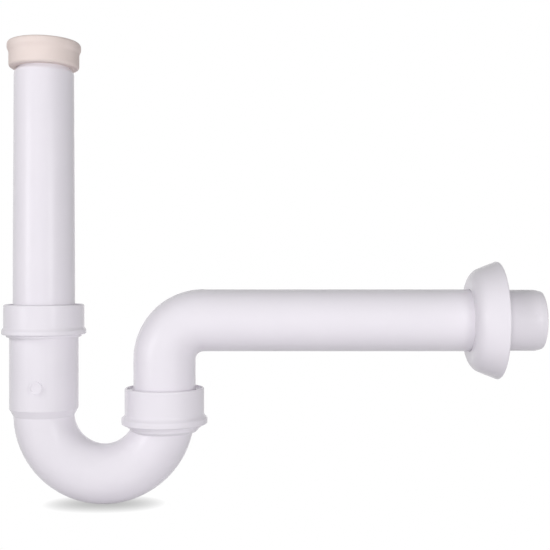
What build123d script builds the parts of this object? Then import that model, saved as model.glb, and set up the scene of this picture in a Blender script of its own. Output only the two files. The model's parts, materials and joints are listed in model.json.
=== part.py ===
import math
import os

from build123d import *

# Basin trap: a bent plastic waste pipe that hangs from a basin and empties through the wall.
# Lengths are in millimetres. The origin is the middle of the rubber seal's mouth, where the
# basin's tail pipe goes in. +Z is up and +X points along the outlet, towards the wall.

# Rubber seal on top of the inlet pipe
tail_pipe_r = 16.0
mouth_depth = 6.2
seal_wall = 1.85
seal_stop = 1.0
seal_neck_length = 6.1
seal_lip_proud = 0.9
seal_lip_rounding = 1.8
seal_lip_height = 5.5
seal_flare_rounding = 3.0
seal_rounding = 1.5

# Inlet pipe: a plain tube that thins a little towards its top, with a neck for the seal
inlet_r = 15.7
inlet_wall = 1.7
inlet_draft = 0.5
inlet_slip_length = 60.0
inlet_length = 160.4
neck_step = 1.6
shoulder_height = 2.2
shoulder_rounding = 3.0

# Outlet pipe: a short leg, an elbow and a long arm with a slightly thinner spigot and a lead-in at its end
outlet_r = 16.0
outlet_wall = 2.0
outlet_leg = 31.8
elbow_r = 20.1
arm_length = 174.6
spigot_step = 0.2
spigot_lead_length = 3.6
spigot_lead_depth = 0.9
spigot_lead_rounding = 6.0
spigot_tip_rounding = 0.6

# Bend with a long socket on the inlet side and a short one on the outlet side
leg_spacing = 62.4
bend_r = 15.4
bend_wall = 1.8
socket_wall = 1.55
inlet_insertion = 33.5
inlet_socket_length = 51.5
inlet_socket_depth = 47.3
inlet_taper_height = 4.6
inlet_taper_drop = 1.6
taper_sink = 0.4
outlet_socket_rise = 8.4
outlet_socket_depth = 12.4
collar_below_ledge = 3.8
collar_taper = 1.4
collar_taper_height = 1.4
mouth_bevel = 1.0
mouth_bevel_depth = 1.7
boss_r = 3.3
boss_raise = 0.9
boss_rim = 0.7
boss_dish = 0.4
boss_above_bend = 15.1

# Slip nuts, each flaring softly into a bead round its lower edge, with a dished top
thread_room = 0.9
nut_top = 2.0
nut_dish = 1.0
nut_rim = 1.2
nut_rounding = 0.8
nut_bead_slope = 1.4
nut_flare_rounding = 2.0
nut_cone_height = 1.3
nut_cone_top = 1.0
nut_cone_lip = 0.5
upper_nut_wall = 2.05
upper_nut_skirt = 11.7
upper_bead_height = 2.2
upper_bead_proud = 1.0
lower_nut_wall = 1.75
lower_nut_skirt = 14.9
lower_bead_height = 3.1
lower_bead_proud = 1.7
washer_slab = 2.8

# Wall flange: a hollow bell that slides on the arm
flange_length = 15.0
flange_rim_r = 30.8
flange_shoulder_r = 24.9
flange_shoulder_rounding = 8.0
flange_rim_land = 0.6
flange_wall = 1.9
flange_land = 2.4
flange_setback = 22.2
spigot_margin = 2.4

# Clearances between pieces that slip, turn or seat
slip_gap = 0.25
nut_hole_gap = 0.3
running_gap = 0.06
seat_gap = 0.1
washer_gap = 0.15
end_gap = 0.3
edge_rounding = 0.4


def upright(x):
    """Plane of a turned profile: its own x is the radius and its y is the height."""
    return Plane(origin=(x, 0, 0), x_dir=(1, 0, 0), z_dir=(0, -1, 0))


def upright_axis(x):
    return Axis((x, 0, 0), (0, 0, 1))


def along_arm(x, z):
    """Plane of a profile turned about the arm: its own x runs along the arm and its y is the radius."""
    return Plane(origin=(x, 0, z), x_dir=(1, 0, 0), z_dir=(0, -1, 0))


def outline(corners):
    """Closed outline from corners given as (x, y, rounding)."""
    points = [(x, y) for x, y, rounding in corners]
    return FilletPolyline(*points, radius=[rounding for x, y, rounding in corners], close=True)


# Inlet seal: a rubber sleeve that flares into a thick lip round its mouth
neck_r = inlet_r - inlet_draft - neck_step
seal_neck_r = neck_r + running_gap
seal_r = max(tail_pipe_r, seal_neck_r) + seal_wall
seal_lip_r = seal_r + seal_lip_proud
stop_r = neck_r - inlet_wall
stop_z = -mouth_depth - seal_stop
seal_bottom = stop_z - seal_neck_length

with BuildPart() as inlet_seal:
    with BuildSketch(upright(0)):
        with BuildLine():
            outline([
                (tail_pipe_r, 0, 0),
                (seal_lip_r, 0, seal_lip_rounding),
                (seal_lip_r, -2 * seal_lip_rounding, seal_flare_rounding),
                (seal_r, -seal_lip_height, seal_flare_rounding),
                (seal_r, seal_bottom, seal_rounding),
                (seal_neck_r, seal_bottom, 0),
                (seal_neck_r, stop_z, 0),
                (stop_r, stop_z, edge_rounding),
                (stop_r, -mouth_depth, edge_rounding),
                (tail_pipe_r, -mouth_depth, 0),
            ])
        make_face()
    revolve(axis=upright_axis(0))

# Inlet pipe: its neck stands in the seal, and its lower end slips into the bend
neck_top = stop_z - seat_gap
shoulder_z = seal_bottom - seat_gap
inlet_top_r = inlet_r - inlet_draft
inlet_end = shoulder_z - inlet_length
slip_z = inlet_end + inlet_slip_length

with BuildPart() as inlet_pipe:
    with BuildSketch(upright(0)):
        with BuildLine():
            outline([
                (neck_r, neck_top, edge_rounding),
                (neck_r, shoulder_z, 0),
                (inlet_top_r, shoulder_z - shoulder_height, shoulder_rounding),
                (inlet_r, slip_z, 0),
                (inlet_r, inlet_end, edge_rounding),
                (inlet_r - inlet_wall, inlet_end, edge_rounding),
                (inlet_r - inlet_wall, slip_z, 0),
                (inlet_top_r - inlet_wall, shoulder_z - shoulder_height - inlet_wall, shoulder_rounding),
                (stop_r, shoulder_z - inlet_wall, 0),
                (stop_r, neck_top, edge_rounding),
            ])
        make_face()
    revolve(axis=upright_axis(0))

# Bend: two sockets joined by a half ring of pipe, with a moulding boss on the long socket
mouth_z = inlet_end + inlet_insertion
bend_z = mouth_z - inlet_socket_length
bend_bore_r = bend_r - bend_wall
inlet_socket_bore = inlet_r + slip_gap
inlet_socket_r = inlet_socket_bore + socket_wall
inlet_ledge = mouth_z - inlet_socket_depth
inlet_taper_end = bend_z - inlet_taper_drop
outlet_mouth_z = bend_z + outlet_socket_rise
outlet_socket_bore = outlet_r + slip_gap
outlet_socket_r = outlet_socket_bore + socket_wall
outlet_ledge = outlet_mouth_z - outlet_socket_depth
collar_end = outlet_ledge - collar_below_ledge
bend_axis = Axis((leg_spacing / 2, 0, bend_z), (0, -1, 0))
boss_plane = Plane.XZ.offset(inlet_socket_r + boss_raise)
boss_centre = (0, bend_z + boss_above_bend)

with BuildPart() as u_bend:
    with BuildSketch(Plane.XY.offset(bend_z)):
        Circle(bend_r)
    revolve(axis=bend_axis, revolution_arc=180)
    with BuildSketch(upright(0)):
        with BuildLine():
            outline([
                (0, inlet_taper_end, 0),
                (bend_r - taper_sink, inlet_taper_end, 0),
                (inlet_socket_r, inlet_taper_end + inlet_taper_height, edge_rounding),
                (inlet_socket_r, mouth_z, edge_rounding),
                (0, mouth_z, 0),
            ])
        make_face()
    revolve(axis=upright_axis(0))
    with BuildSketch(upright(leg_spacing)):
        with BuildLine():
            outline([
                (0, outlet_mouth_z, 0),
                (outlet_socket_r, outlet_mouth_z, edge_rounding),
                (outlet_socket_r, collar_end, edge_rounding),
                (outlet_socket_r - collar_taper, collar_end - collar_taper_height, edge_rounding),
                (0, collar_end - collar_taper_height, 0),
            ])
        make_face()
    revolve(axis=upright_axis(leg_spacing))
    with BuildSketch(boss_plane):
        with Locations(boss_centre):
            Circle(boss_r)
    extrude(amount=-boss_raise - socket_wall / 2)
    with BuildSketch(boss_plane):
        with Locations(boss_centre):
            Circle(boss_r - boss_rim)
    extrude(amount=-boss_dish, mode=Mode.SUBTRACT)
    # The waterway: the ring's bore, then each socket's bore with its bevelled mouth
    with BuildSketch(Plane.XY.offset(bend_z)):
        Circle(bend_bore_r)
    revolve(axis=bend_axis, revolution_arc=180, mode=Mode.SUBTRACT)
    with BuildSketch(upright(0)):
        with BuildLine():
            outline([
                (0, mouth_z, 0),
                (inlet_socket_bore + mouth_bevel, mouth_z, 0),
                (inlet_socket_bore, mouth_z - mouth_bevel_depth, 0),
                (inlet_socket_bore, inlet_ledge, 0),
                (bend_bore_r, inlet_ledge, 0),
                (bend_bore_r, bend_z, 0),
                (0, bend_z, 0),
            ])
        make_face()
    revolve(axis=upright_axis(0), mode=Mode.SUBTRACT)
    with BuildSketch(upright(leg_spacing)):
        with BuildLine():
            outline([
                (0, outlet_mouth_z, 0),
                (outlet_socket_bore + mouth_bevel, outlet_mouth_z, 0),
                (outlet_socket_bore, outlet_mouth_z - mouth_bevel_depth, 0),
                (outlet_socket_bore, outlet_ledge, 0),
                (0, outlet_ledge, 0),
            ])
        make_face()
    revolve(axis=upright_axis(leg_spacing), mode=Mode.SUBTRACT)


def sealing_washer(x, pipe_r, socket_bore, mouth, nut_bore):
    """Tapered rubber washer: a slab that the nut presses down and a cone that fills the socket's bevel."""
    washer_bore = pipe_r + running_gap
    slab_bottom = mouth + seat_gap
    cone_r = socket_bore + mouth_bevel - washer_gap
    tip_r = (washer_bore + socket_bore + running_gap) / 2
    tip_depth = mouth_bevel_depth * (cone_r - tip_r) / mouth_bevel
    with BuildPart() as washer:
        with BuildSketch(upright(x)):
            with BuildLine():
                outline([
                    (washer_bore, mouth - tip_depth, 0),
                    (tip_r, mouth - tip_depth, 0),
                    (cone_r, mouth, 0),
                    (cone_r, slab_bottom, 0),
                    (nut_bore - nut_hole_gap, slab_bottom, edge_rounding),
                    (nut_bore - nut_hole_gap, slab_bottom + washer_slab, edge_rounding),
                    (washer_bore, slab_bottom + washer_slab, 0),
                ])
            make_face()
        revolve(axis=upright_axis(x))
    return washer


def slip_nut(x, pipe_r, mouth, nut_bore, wall, skirt, bead_height, bead_proud):
    """Round nut: a dished top over the washer and a threaded skirt with a bead above its conical edge."""
    ceiling = mouth + seat_gap + washer_slab + seat_gap
    top = ceiling + nut_top
    bottom = mouth - skirt
    bead_bottom = bottom + nut_cone_height
    bead_top = bead_bottom + bead_height
    hole_r = pipe_r + nut_hole_gap
    nut_r = nut_bore + wall
    bead_r = nut_r + bead_proud
    dish_r = nut_r - nut_rim
    with BuildPart() as nut:
        with BuildSketch(upright(x)):
            with BuildLine():
                outline([
                    (nut_bore, bottom, 0),
                    (nut_bore, ceiling, edge_rounding),
                    (hole_r, ceiling, 0),
                    (hole_r, top - nut_dish, edge_rounding),
                    (dish_r, top - nut_dish, edge_rounding),
                    (dish_r, top, edge_rounding),
                    (nut_r, top, nut_rounding),
                    (nut_r, bead_top + nut_bead_slope, nut_flare_rounding),
                    (bead_r, bead_top, nut_rounding),
                    (bead_r, bead_bottom, nut_rounding),
                    (nut_bore + nut_cone_top, bead_bottom, 0),
                    (nut_bore + nut_cone_lip, bottom, 0),
                ])
            make_face()
        revolve(axis=upright_axis(x))
    return nut


# Upper slip joint, where the inlet pipe enters the bend
upper_nut_bore = inlet_socket_r + thread_room
upper_seal_ring = sealing_washer(0, inlet_r, inlet_socket_bore, mouth_z, upper_nut_bore)
upper_nut = slip_nut(
    0, inlet_r, mouth_z, upper_nut_bore,
    upper_nut_wall, upper_nut_skirt, upper_bead_height, upper_bead_proud,
)

# Lower slip joint, where the bend takes the outlet's leg
lower_nut_bore = outlet_socket_r + thread_room
lower_seal_ring = sealing_washer(
    leg_spacing, outlet_r, outlet_socket_bore, outlet_mouth_z, lower_nut_bore,
)
lower_nut = slip_nut(
    leg_spacing, outlet_r, outlet_mouth_z, lower_nut_bore,
    lower_nut_wall, lower_nut_skirt, lower_bead_height, lower_bead_proud,
)

# Outlet pipe: leg up from the bend, elbow, then the arm to the wall
leg_end = outlet_ledge + end_gap
elbow_z = leg_end + outlet_leg
arm_z = elbow_z + elbow_r
arm_x = leg_spacing + elbow_r
arm_end = arm_x + arm_length
outlet_bore_r = outlet_r - outlet_wall
spigot_r = outlet_r - spigot_step
flange_rim_x = arm_end - flange_setback
flange_x = flange_rim_x - flange_length
spigot_x = flange_x + flange_land + spigot_margin
spigot_length = arm_end - spigot_x
leg_plane = Plane(origin=(leg_spacing, 0, leg_end))
elbow_plane = Plane(origin=(leg_spacing, 0, elbow_z))
arm_plane = Plane(origin=(arm_x, 0, arm_z), z_dir=(1, 0, 0))
elbow_axis = Axis((arm_x, 0, elbow_z), (0, 1, 0))
arm_axis = Axis((arm_x, 0, arm_z), (1, 0, 0))

with BuildPart() as outlet_pipe:
    with BuildSketch(leg_plane):
        Circle(outlet_r)
        Circle(outlet_bore_r, mode=Mode.SUBTRACT)
    extrude(amount=outlet_leg)
    with BuildSketch(elbow_plane):
        Circle(outlet_r)
        Circle(outlet_bore_r, mode=Mode.SUBTRACT)
    revolve(axis=elbow_axis, revolution_arc=90)
    with BuildSketch(arm_plane):
        Circle(outlet_r)
        Circle(outlet_bore_r, mode=Mode.SUBTRACT)
    extrude(amount=spigot_x - arm_x)
    with BuildSketch(along_arm(spigot_x, arm_z)):
        with BuildLine():
            outline([
                (0, outlet_bore_r, 0),
                (0, spigot_r, 0),
                (spigot_length - spigot_lead_length, spigot_r, spigot_lead_rounding),
                (spigot_length, spigot_r - spigot_lead_depth, spigot_tip_rounding),
                (spigot_length, outlet_bore_r, 0),
            ])
        make_face()
    revolve(axis=arm_axis)
    chamfer(outlet_pipe.edges().group_by(Axis.Z)[0], length=edge_rounding)

# Wall flange: a bell turned about the arm, open towards the wall
flange_slope = (flange_rim_r - flange_shoulder_r) / flange_length
flange_rim_angle = math.pi / 2 - math.atan(flange_slope)
flange_rim_rounding = (flange_wall - flange_rim_land) * math.tan(flange_rim_angle / 2)
flange_hole_r = outlet_r + running_gap
flange_inner_r = flange_shoulder_r - flange_wall + flange_slope * flange_land

with BuildPart() as wall_flange:
    with BuildSketch(along_arm(flange_x, arm_z)):
        with BuildLine():
            outline([
                (0, flange_hole_r, edge_rounding),
                (0, flange_shoulder_r, flange_shoulder_rounding),
                (flange_length, flange_rim_r, flange_rim_rounding),
                (flange_length, flange_rim_r - flange_wall, 0),
                (flange_land, flange_inner_r, flange_shoulder_rounding - flange_wall),
                (flange_land, flange_hole_r, 0),
            ])
        make_face()
    revolve(axis=arm_axis)

os.makedirs("parts", exist_ok=True)

inlet_seal.part.label = "inlet_seal"
export_step(inlet_seal.part, "parts/inlet_seal.step")
inlet_pipe.part.label = "inlet_pipe"
export_step(inlet_pipe.part, "parts/inlet_pipe.step")
upper_nut.part.label = "upper_nut"
export_step(upper_nut.part, "parts/upper_nut.step")
upper_seal_ring.part.label = "upper_seal_ring"
export_step(upper_seal_ring.part, "parts/upper_seal_ring.step")
u_bend.part.label = "u_bend"
export_step(u_bend.part, "parts/u_bend.step")
lower_nut.part.label = "lower_nut"
export_step(lower_nut.part, "parts/lower_nut.step")
lower_seal_ring.part.label = "lower_seal_ring"
export_step(lower_seal_ring.part, "parts/lower_seal_ring.step")
outlet_pipe.part.label = "outlet_pipe"
export_step(outlet_pipe.part, "parts/outlet_pipe.step")
wall_flange.part.label = "wall_flange"
export_step(wall_flange.part, "parts/wall_flange.step")
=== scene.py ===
import json
import math

import bpy
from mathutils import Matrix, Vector


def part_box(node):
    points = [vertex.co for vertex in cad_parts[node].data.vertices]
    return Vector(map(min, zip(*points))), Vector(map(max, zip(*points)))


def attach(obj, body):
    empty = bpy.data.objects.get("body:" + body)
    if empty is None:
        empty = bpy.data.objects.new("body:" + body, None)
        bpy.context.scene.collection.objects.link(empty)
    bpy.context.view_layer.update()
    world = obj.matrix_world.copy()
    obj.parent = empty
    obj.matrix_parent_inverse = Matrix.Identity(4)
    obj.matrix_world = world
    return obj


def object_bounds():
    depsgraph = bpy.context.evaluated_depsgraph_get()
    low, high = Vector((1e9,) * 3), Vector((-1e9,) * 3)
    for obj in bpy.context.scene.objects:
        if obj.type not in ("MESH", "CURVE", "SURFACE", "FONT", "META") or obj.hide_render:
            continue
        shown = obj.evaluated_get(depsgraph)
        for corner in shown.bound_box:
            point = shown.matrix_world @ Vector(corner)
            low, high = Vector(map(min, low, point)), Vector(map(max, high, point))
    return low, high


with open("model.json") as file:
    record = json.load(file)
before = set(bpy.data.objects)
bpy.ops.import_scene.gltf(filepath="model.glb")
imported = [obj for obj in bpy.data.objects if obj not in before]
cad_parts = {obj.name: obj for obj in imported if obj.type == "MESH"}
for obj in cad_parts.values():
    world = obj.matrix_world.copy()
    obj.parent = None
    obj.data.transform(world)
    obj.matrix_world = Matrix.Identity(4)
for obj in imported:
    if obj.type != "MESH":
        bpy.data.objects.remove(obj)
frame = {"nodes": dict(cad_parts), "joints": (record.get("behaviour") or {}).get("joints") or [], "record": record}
cad_low, cad_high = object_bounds()

# Inlet seal
# A flared sleeve of soft cream rubber, compression moulded, pushed over the neck of the inlet pipe.
# Two thin lips inside its mouth grip the tail pipe of the basin.
tail_pipe_r = frame["record"]["mounts"][0]["dims"]["r_mm"] / 1000
lip_heights = (-0.0019, -0.0043)
lip_foot = 0.0013
lip_tip = 0.0004
lip_reach = 0.0006
lip_sink = 0.0002
ring_steps = 128
merge_gap = 1e-6
smooth_below = math.radians(40)


def srgb(code):
    """Linear colour and full alpha for an sRGB hex code."""
    parts = [int(code[k:k + 2], 16) / 255 for k in (1, 3, 5)]
    return [p / 12.92 if p <= 0.04045 else ((p + 0.055) / 1.055) ** 2.4 for p in parts] + [1.0]


def add_node(tree, kind, settings=None, links=None):
    """Adds a shader node with its settings, and links its inputs to other nodes' outputs."""
    node = tree.nodes.new(kind)
    for name, value in (settings or {}).items():
        if name in node.inputs:
            node.inputs[name].default_value = value
        else:
            setattr(node, name, value)
    for name, source in (links or {}).items():
        tree.links.new(source, node.inputs[name])
    return node


def blank_material(name):
    material = bpy.data.materials.new(name)
    material.use_nodes = True
    material.node_tree.nodes.clear()
    return material


def moulded_rubber(name, light, dark, bloom_mm):
    """Vulcanised rubber from a mould: matt, with a dusty bloom in soft patches and a faint grain."""
    grain_mm = 0.6
    material = blank_material(name)
    tree = material.node_tree
    place = add_node(tree, "ShaderNodeTexCoord").outputs["Object"]
    dust = {"Scale": 1000 / bloom_mm, "Detail": 4.0}
    bloom = add_node(tree, "ShaderNodeTexNoise", dust, {"Vector": place})
    pores = {"Scale": 1000 / grain_mm, "Detail": 3.0}
    grain = add_node(tree, "ShaderNodeTexNoise", pores, {"Vector": place})
    patches = bloom.outputs["Fac"]
    colours = {"data_type": "RGBA", "A": srgb(dark), "B": srgb(light)}
    colour = add_node(tree, "ShaderNodeMix", colours, {"Factor": patches})
    rough = add_node(tree, "ShaderNodeMapRange", {"To Min": 0.62, "To Max": 0.8}, {"Value": patches})
    skin = {"Strength": 0.3, "Distance": 0.0001}
    bump = add_node(tree, "ShaderNodeBump", skin, {"Height": grain.outputs["Fac"]})
    shader = add_node(
        tree, "ShaderNodeBsdfPrincipled",
        {"IOR": 1.52, "Specular IOR Level": 0.35},
        {
            "Base Color": colour.outputs["Result"],
            "Roughness": rough.outputs["Result"],
            "Normal": bump.outputs["Normal"],
        },
    )
    add_node(tree, "ShaderNodeOutputMaterial", links={"Surface": shader.outputs["BSDF"]})
    return material


def dress(node, material):
    """Gives a CAD node its material."""
    for slot in frame["nodes"][node].material_slots:
        slot.material = material


def section(name, corners):
    """A closed outline in the XZ plane, its corners as (radius, height), to start a turned shape."""
    bpy.ops.object.select_all(action="DESELECT")
    bpy.ops.mesh.primitive_circle_add(vertices=len(corners))
    piece = bpy.context.object
    piece.name = name
    for vertex, (radius, height) in zip(piece.data.vertices, corners):
        vertex.co = (radius, 0, height)
    return piece


def finish_piece(piece, material, body):
    """Closes the skin of a new piece, and gives it its finish and the body that carries it."""
    bpy.ops.object.mode_set(mode="EDIT")
    bpy.ops.mesh.select_all(action="SELECT")
    bpy.ops.mesh.remove_doubles(threshold=merge_gap)
    bpy.ops.mesh.fill_holes(sides=0)
    bpy.ops.mesh.normals_make_consistent(inside=False)
    bpy.ops.object.mode_set(mode="OBJECT")
    bpy.ops.object.shade_smooth_by_angle(angle=smooth_below)
    piece.data.materials.append(material)
    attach(piece, body)


cream_rubber = moulded_rubber("cream_moulded_rubber", "#efe2dd", "#e8d9d3", bloom_mm=9.0)
dress("inlet_seal", cream_rubber)

for number, height in enumerate(lip_heights, 1):
    lip = section(f"seal_lip_{number}", [
        (tail_pipe_r + lip_sink, height),
        (tail_pipe_r - lip_reach, height - lip_foot + lip_tip),
        (tail_pipe_r - lip_reach, height - lip_foot),
        (tail_pipe_r + lip_sink, height - lip_foot),
    ])
    bpy.ops.object.mode_set(mode="EDIT")
    bpy.ops.mesh.select_all(action="SELECT")
    bpy.ops.mesh.spin(steps=ring_steps, angle=2 * math.pi, center=(0, 0, 0), axis=(0, 0, 1))
    bpy.ops.object.mode_set(mode="OBJECT")
    finish_piece(lip, cream_rubber, "seal")

# Inlet pipe
# A straight tube of white polypropylene with a necked top. It is injection moulded, and its skin is
# as smooth as the polished mould.


def moulded_polypropylene(name, light, dark):
    """White polypropylene: a waxy semi-gloss skin, slow clouds from the melt's flow, a fine peel."""
    clouds_mm = 34.0
    peel_mm = 1.8
    material = blank_material(name)
    tree = material.node_tree
    place = add_node(tree, "ShaderNodeTexCoord").outputs["Object"]
    flow = {"Scale": 1000 / clouds_mm, "Detail": 3.0, "Distortion": 0.7}
    clouds = add_node(tree, "ShaderNodeTexNoise", flow, {"Vector": place})
    waves = {"Scale": 1000 / peel_mm, "Detail": 2.0}
    peel = add_node(tree, "ShaderNodeTexNoise", waves, {"Vector": place})
    patches = clouds.outputs["Fac"]
    colours = {"data_type": "RGBA", "A": srgb(dark), "B": srgb(light)}
    colour = add_node(tree, "ShaderNodeMix", colours, {"Factor": patches})
    rough = add_node(tree, "ShaderNodeMapRange", {"To Min": 0.22, "To Max": 0.28}, {"Value": patches})
    skin = {"Strength": 0.15, "Distance": 0.00006}
    bump = add_node(tree, "ShaderNodeBump", skin, {"Height": peel.outputs["Fac"]})
    shader = add_node(
        tree, "ShaderNodeBsdfPrincipled",
        {"IOR": 1.49, "Specular IOR Level": 0.4},
        {
            "Base Color": colour.outputs["Result"],
            "Roughness": rough.outputs["Result"],
            "Normal": bump.outputs["Normal"],
        },
    )
    add_node(tree, "ShaderNodeOutputMaterial", links={"Surface": shader.outputs["BSDF"]})
    return material


white_polypropylene = moulded_polypropylene("white_moulded_polypropylene", "#ece8ee", "#e7e3ea")
dress("inlet_pipe", white_polypropylene)

# Bend
# A half ring of pipe with a long inlet socket and a short outlet socket, moulded in one piece from
# white polypropylene. Both sockets are threaded outside, and a fine seam shows where the mould closed.
dress("u_bend", white_polypropylene)
bend_low, bend_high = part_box("u_bend")
outlet_x = next(j["pos_m"][0] for j in frame["joints"] if j["name"] == "outlet_swivel")
inlet_socket_r = -bend_low.x
outlet_socket_r = bend_high.x - outlet_x
inlet_mouth = bend_high.z
nut_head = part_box("upper_nut")[1].z - inlet_mouth
outlet_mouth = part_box("lower_nut")[1].z - nut_head

thread_pitch = 0.003
thread_foot = 0.0013
thread_crest = 0.0005
thread_height = 0.0007
thread_sink = 0.0001
thread_below_mouth = 0.0015
inlet_turns = 2.5
outlet_turns = 3.5
steps_in_turn = 72
run_out_steps = 8
run_out_least = 0.02


def thread(name, axis_x, wall_r, height, start_z, turns, body):
    """A ridge that climbs round a wall, outwards for a positive height, and runs out at both ends."""
    sunk_r = wall_r - math.copysign(thread_sink, height)
    ridge = section(name, [
        (sunk_r, start_z - thread_foot / 2),
        (wall_r + height, start_z - thread_crest / 2),
        (wall_r + height, start_z + thread_crest / 2),
        (sunk_r, start_z + thread_foot / 2),
    ])
    corners = len(ridge.data.vertices)
    steps = round(steps_in_turn * turns)
    screw = ridge.modifiers.new("climb", "SCREW")
    screw.axis = "Z"
    screw.angle = 2 * math.pi * turns
    screw.screw_offset = thread_pitch * turns
    screw.steps = steps
    screw.render_steps = steps
    bpy.ops.object.modifier_apply(modifier=screw.name)
    for vertex in ridge.data.vertices:
        step = vertex.index // corners
        share = min(1, step / run_out_steps, (steps - step) / run_out_steps)
        radius = math.hypot(vertex.co.x, vertex.co.y)
        kept = (sunk_r + (radius - sunk_r) * max(share, run_out_least)) / radius
        vertex.co.x = axis_x + vertex.co.x * kept
        vertex.co.y *= kept
    finish_piece(ridge, white_polypropylene, body)


inlet_thread_z = inlet_mouth - thread_below_mouth - thread_pitch * inlet_turns
outlet_thread_z = outlet_mouth - thread_below_mouth - thread_pitch * outlet_turns
thread(
    "inlet_socket_thread", 0, inlet_socket_r, thread_height,
    inlet_thread_z, inlet_turns, "trap_bend",
)
thread(
    "outlet_socket_thread", outlet_x, outlet_socket_r, thread_height,
    outlet_thread_z, outlet_turns, "trap_bend",
)

bend_r = 0.0154
bend_centre = Vector((outlet_x / 2, 0, bend_low.z + outlet_x / 2 + bend_r))
# The socket tapers to the bend's pipe between these two heights, measured from the bend's centre.
taper_top = 0.003
taper_end = -0.00086
outer_seam_end = math.radians(10)
inner_seam_start = math.radians(3)
inner_seam_end = math.radians(31)
seam_foot = 0.0005
seam_crest = 0.0002
seam_height = 0.00012
seam_sink = 0.00005
seam_step = math.radians(3)


def seam(name, start, height, runs, centre, turn, body):
    """A fine ridge that stands out along x, runs straight for a while and then turns round a centre."""
    bpy.ops.object.select_all(action="DESELECT")
    bpy.ops.mesh.primitive_circle_add(vertices=4)
    ridge = bpy.context.object
    ridge.name = name
    sunk = -math.copysign(seam_sink, height)
    corners = [(sunk, -seam_foot), (height, -seam_crest), (height, seam_crest), (sunk, seam_foot)]
    for vertex, (out, width) in zip(ridge.data.vertices, corners):
        vertex.co = start + Vector((out, width / 2, 0))
    bpy.ops.object.mode_set(mode="EDIT")
    bpy.ops.mesh.select_all(action="SELECT")
    for run in runs:
        bpy.ops.mesh.extrude_region_move(TRANSFORM_OT_translate={"value": run})
    steps = round(abs(turn) / seam_step)
    bpy.ops.mesh.spin(steps=steps, angle=turn, center=centre, axis=(0, 1, 0))
    bpy.ops.object.mode_set(mode="OBJECT")
    finish_piece(ridge, white_polypropylene, body)


seam_top = Vector((-inlet_socket_r, 0, inlet_thread_z - thread_foot))
taper_high = Vector((-inlet_socket_r, 0, bend_centre.z + taper_top))
taper_low = Vector((-bend_r, 0, bend_centre.z + taper_end))
outer_start = math.asin(-taper_end / (bend_centre.x + bend_r))
seam(
    "bend_outer_seam", seam_top, -seam_height, [taper_high - seam_top, taper_low - taper_high],
    bend_centre, math.pi - outer_start - outer_seam_end, "trap_bend",
)
inner_r = bend_centre.x - bend_r
inner_way = Vector((math.cos(inner_seam_start), 0, math.sin(inner_seam_start)))
inner_start = bend_centre - inner_r * inner_way
seam(
    "bend_inner_seam", inner_start, seam_height, [],
    bend_centre, math.pi - inner_seam_start - inner_seam_end, "trap_bend",
)

# Upper washer
# A tapered ring of grey rubber that the upper nut presses into the mouth of the inlet socket.
grey_rubber = moulded_rubber("grey_moulded_rubber", "#b4b2b6", "#a6a4a8", bloom_mm=6.0)
dress("upper_seal_ring", grey_rubber)

# Upper nut
# A round slip nut of white polypropylene with a bead to grip. Its thread inside runs half a pitch
# above the socket's own.
dress("upper_nut", white_polypropylene)
thread_room = 0.0009
nut_turns_less = 0.5
inlet_nut_turns = inlet_turns - nut_turns_less
thread(
    "upper_nut_thread", 0, inlet_socket_r + thread_room, -thread_height,
    inlet_thread_z + thread_pitch / 2, inlet_nut_turns, "upper_slip_nut",
)

# Outlet pipe
# The leg, elbow and arm are one moulding of white polypropylene. The leg stands in the bend's short
# socket, and the arm goes through the wall. The mould's seam is left only round the elbow.
dress("outlet_pipe", white_polypropylene)
outlet_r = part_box("outlet_pipe")[1].y
arm_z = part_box("outlet_pipe")[1].z - outlet_r
elbow_r = 0.0201
elbow_centre = Vector((outlet_x + elbow_r, 0, arm_z - elbow_r))
for name, side, height in (("outer", -outlet_r, -seam_height), ("inner", outlet_r, seam_height)):
    start = elbow_centre + Vector((side - elbow_r, 0, 0))
    seam(f"elbow_{name}_seam", start, height, [], elbow_centre, -math.pi / 2, "outlet")

# Lower washer
# The same kind of grey rubber ring as the upper one, round the outlet's leg.
dress("lower_seal_ring", grey_rubber)

# Lower nut
# Like the upper nut, but with a thinner wall, a deeper skirt and a bolder bead.
dress("lower_nut", white_polypropylene)
outlet_nut_turns = outlet_turns - nut_turns_less
thread(
    "lower_nut_thread", outlet_x, outlet_socket_r + thread_room, -thread_height,
    outlet_thread_z + thread_pitch / 2, outlet_nut_turns, "lower_slip_nut",
)

# Wall flange
# A thin bell of white polypropylene that slides on the arm and covers the hole in the wall.
dress("wall_flange", white_polypropylene)

# Floor and background
# A white room and a pale tabletop under the bend. The eye and the lamps look through the top, and only
# a painted shadow shows on it where the bend stands: it is darkened from ambient occlusion, not cast by a lamp.
# To other light it is a solid pale floor.
floor_size = 8.0
floor_gap = 0.0002
shadow_reach = 0.01
shadow_depth = 0.52
room_strength = 0.13
backdrop_strength = 1.0
eye_rays = ["Is Camera Ray", "Is Glossy Ray", "Is Transmission Ray"]


def any_of(tree, kinds):
    """One for a ray of any of these kinds, and nought for other light."""
    path = add_node(tree, "ShaderNodeLightPath").outputs
    found = path[kinds[0]]
    for kind in kinds[1:]:
        larger = {"operation": "MAXIMUM"}
        found = add_node(tree, "ShaderNodeMath", larger, {0: found, 1: path[kind]}).outputs[0]
    return found


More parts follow.
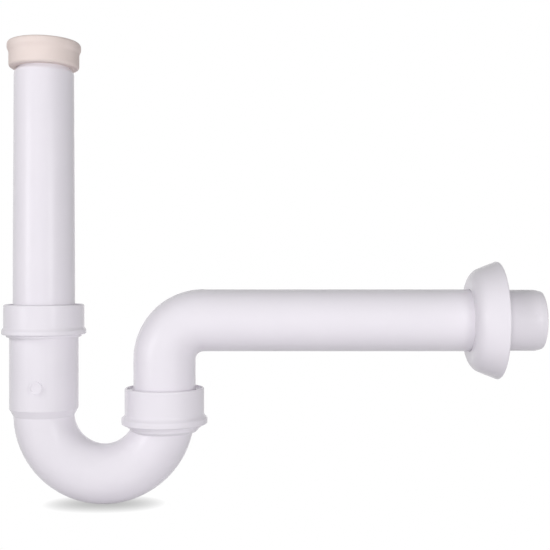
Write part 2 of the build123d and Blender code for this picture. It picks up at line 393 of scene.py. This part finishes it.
bpy.ops.object.select_all(action="DESELECT")
bpy.ops.mesh.primitive_plane_add(size=floor_size, location=(bend_centre.x, 0, cad_low.z - floor_gap))
floor = bpy.context.object
floor.name = "floor"
white_tabletop = blank_material("white_tabletop")
tree = white_tabletop.node_tree
bounce = add_node(tree, "ShaderNodeBsdfDiffuse", {"Color": srgb("#d6d4d8")})
# Painted shadow: ambient occlusion tints the see-through top darker near the bend, and no lamp casts it.
open_sky = add_node(tree, "ShaderNodeAmbientOcclusion", {"Distance": shadow_reach})
levels = {"To Min": 1 - shadow_depth, "To Max": 1.0}
level = add_node(tree, "ShaderNodeMapRange", levels, {"Value": open_sky.outputs["AO"]})
shown = add_node(tree, "ShaderNodeBsdfTransparent", links={"Color": level.outputs["Result"]})
see_through = any_of(tree, eye_rays + ["Is Shadow Ray"])
either = {0: see_through, 1: bounce.outputs[0], 2: shown.outputs[0]}
mixed = add_node(tree, "ShaderNodeMixShader", links=either)
add_node(tree, "ShaderNodeOutputMaterial", links={"Surface": mixed.outputs[0]})
floor.data.materials.append(white_tabletop)

room = bpy.data.worlds.new("white_room")
bpy.context.scene.world = room
room.use_nodes = True
tree = room.node_tree
tree.nodes.clear()
white_light = srgb("#ffffff")
dim = add_node(tree, "ShaderNodeBackground", {"Color": white_light, "Strength": room_strength})
white = add_node(tree, "ShaderNodeBackground", {"Color": white_light, "Strength": backdrop_strength})
either = {0: any_of(tree, eye_rays), 1: dim.outputs[0], 2: white.outputs[0]}
mixed = add_node(tree, "ShaderNodeMixShader", links=either)
add_node(tree, "ShaderNodeOutputWorld", links={"Surface": mixed.outputs[0]})

# Light
# A large soft box high on the left, another low on the right, a small one at the camera and a strong one
# behind the part, all without a gleam of their own. Two weak boxes, one at each side, give the gleams.
light_aim = Vector((0.12, 0, -0.13))


def soft_box(name, azimuth, rise, distance, size, watts):
    """A square lamp that faces the part, placed in degrees to the right of the view and above it."""
    bpy.ops.object.select_all(action="DESELECT")
    turn = math.radians(azimuth)
    lift = math.radians(rise)
    level = math.cos(lift)
    away = Vector((math.sin(turn) * level, -math.cos(turn) * level, math.sin(lift)))
    bpy.ops.object.light_add(type="AREA", location=light_aim + away * distance)
    lamp = bpy.context.object
    lamp.name = name
    lamp.data.size = size
    lamp.data.energy = watts
    lamp.rotation_euler = away.to_track_quat("Z", "Y").to_euler()
    return lamp


left_box = soft_box("left_soft_box", azimuth=-56, rise=32, distance=1.1, size=0.4, watts=3.2)
right_box = soft_box("right_soft_box", azimuth=36, rise=6, distance=1.1, size=0.4, watts=2.1)
camera_box = soft_box("camera_soft_box", azimuth=0, rise=1, distance=0.6, size=0.22, watts=1.42)
back_box = soft_box("back_soft_box", azimuth=180, rise=4, distance=1.1, size=0.4, watts=7.5)
for lamp in (left_box, right_box, camera_box, back_box):
    lamp.visible_glossy = False
soft_box("left_gleam_box", azimuth=-52, rise=6, distance=1.1, size=0.34, watts=1.1)
soft_box("right_gleam_box", azimuth=33, rise=4, distance=1.1, size=0.3, watts=0.95)

# Camera
# It stands in front of the part, level with the middle of its height, and looks straight along +Y.
# The focal length in pixels and the place come from the photo's scale and perspective.
image_px = 550
focal_px = 940
sensor_mm = 36
camera_place = (0.1196, -0.487, -0.12015)
bpy.ops.object.camera_add(location=camera_place, rotation=(math.pi / 2, 0, 0))
camera = bpy.context.object
camera.data.sensor_width = sensor_mm
camera.data.lens = sensor_mm * focal_px / image_px
bpy.context.scene.camera = camera
bpy.context.scene.view_settings.view_transform = "Standard"
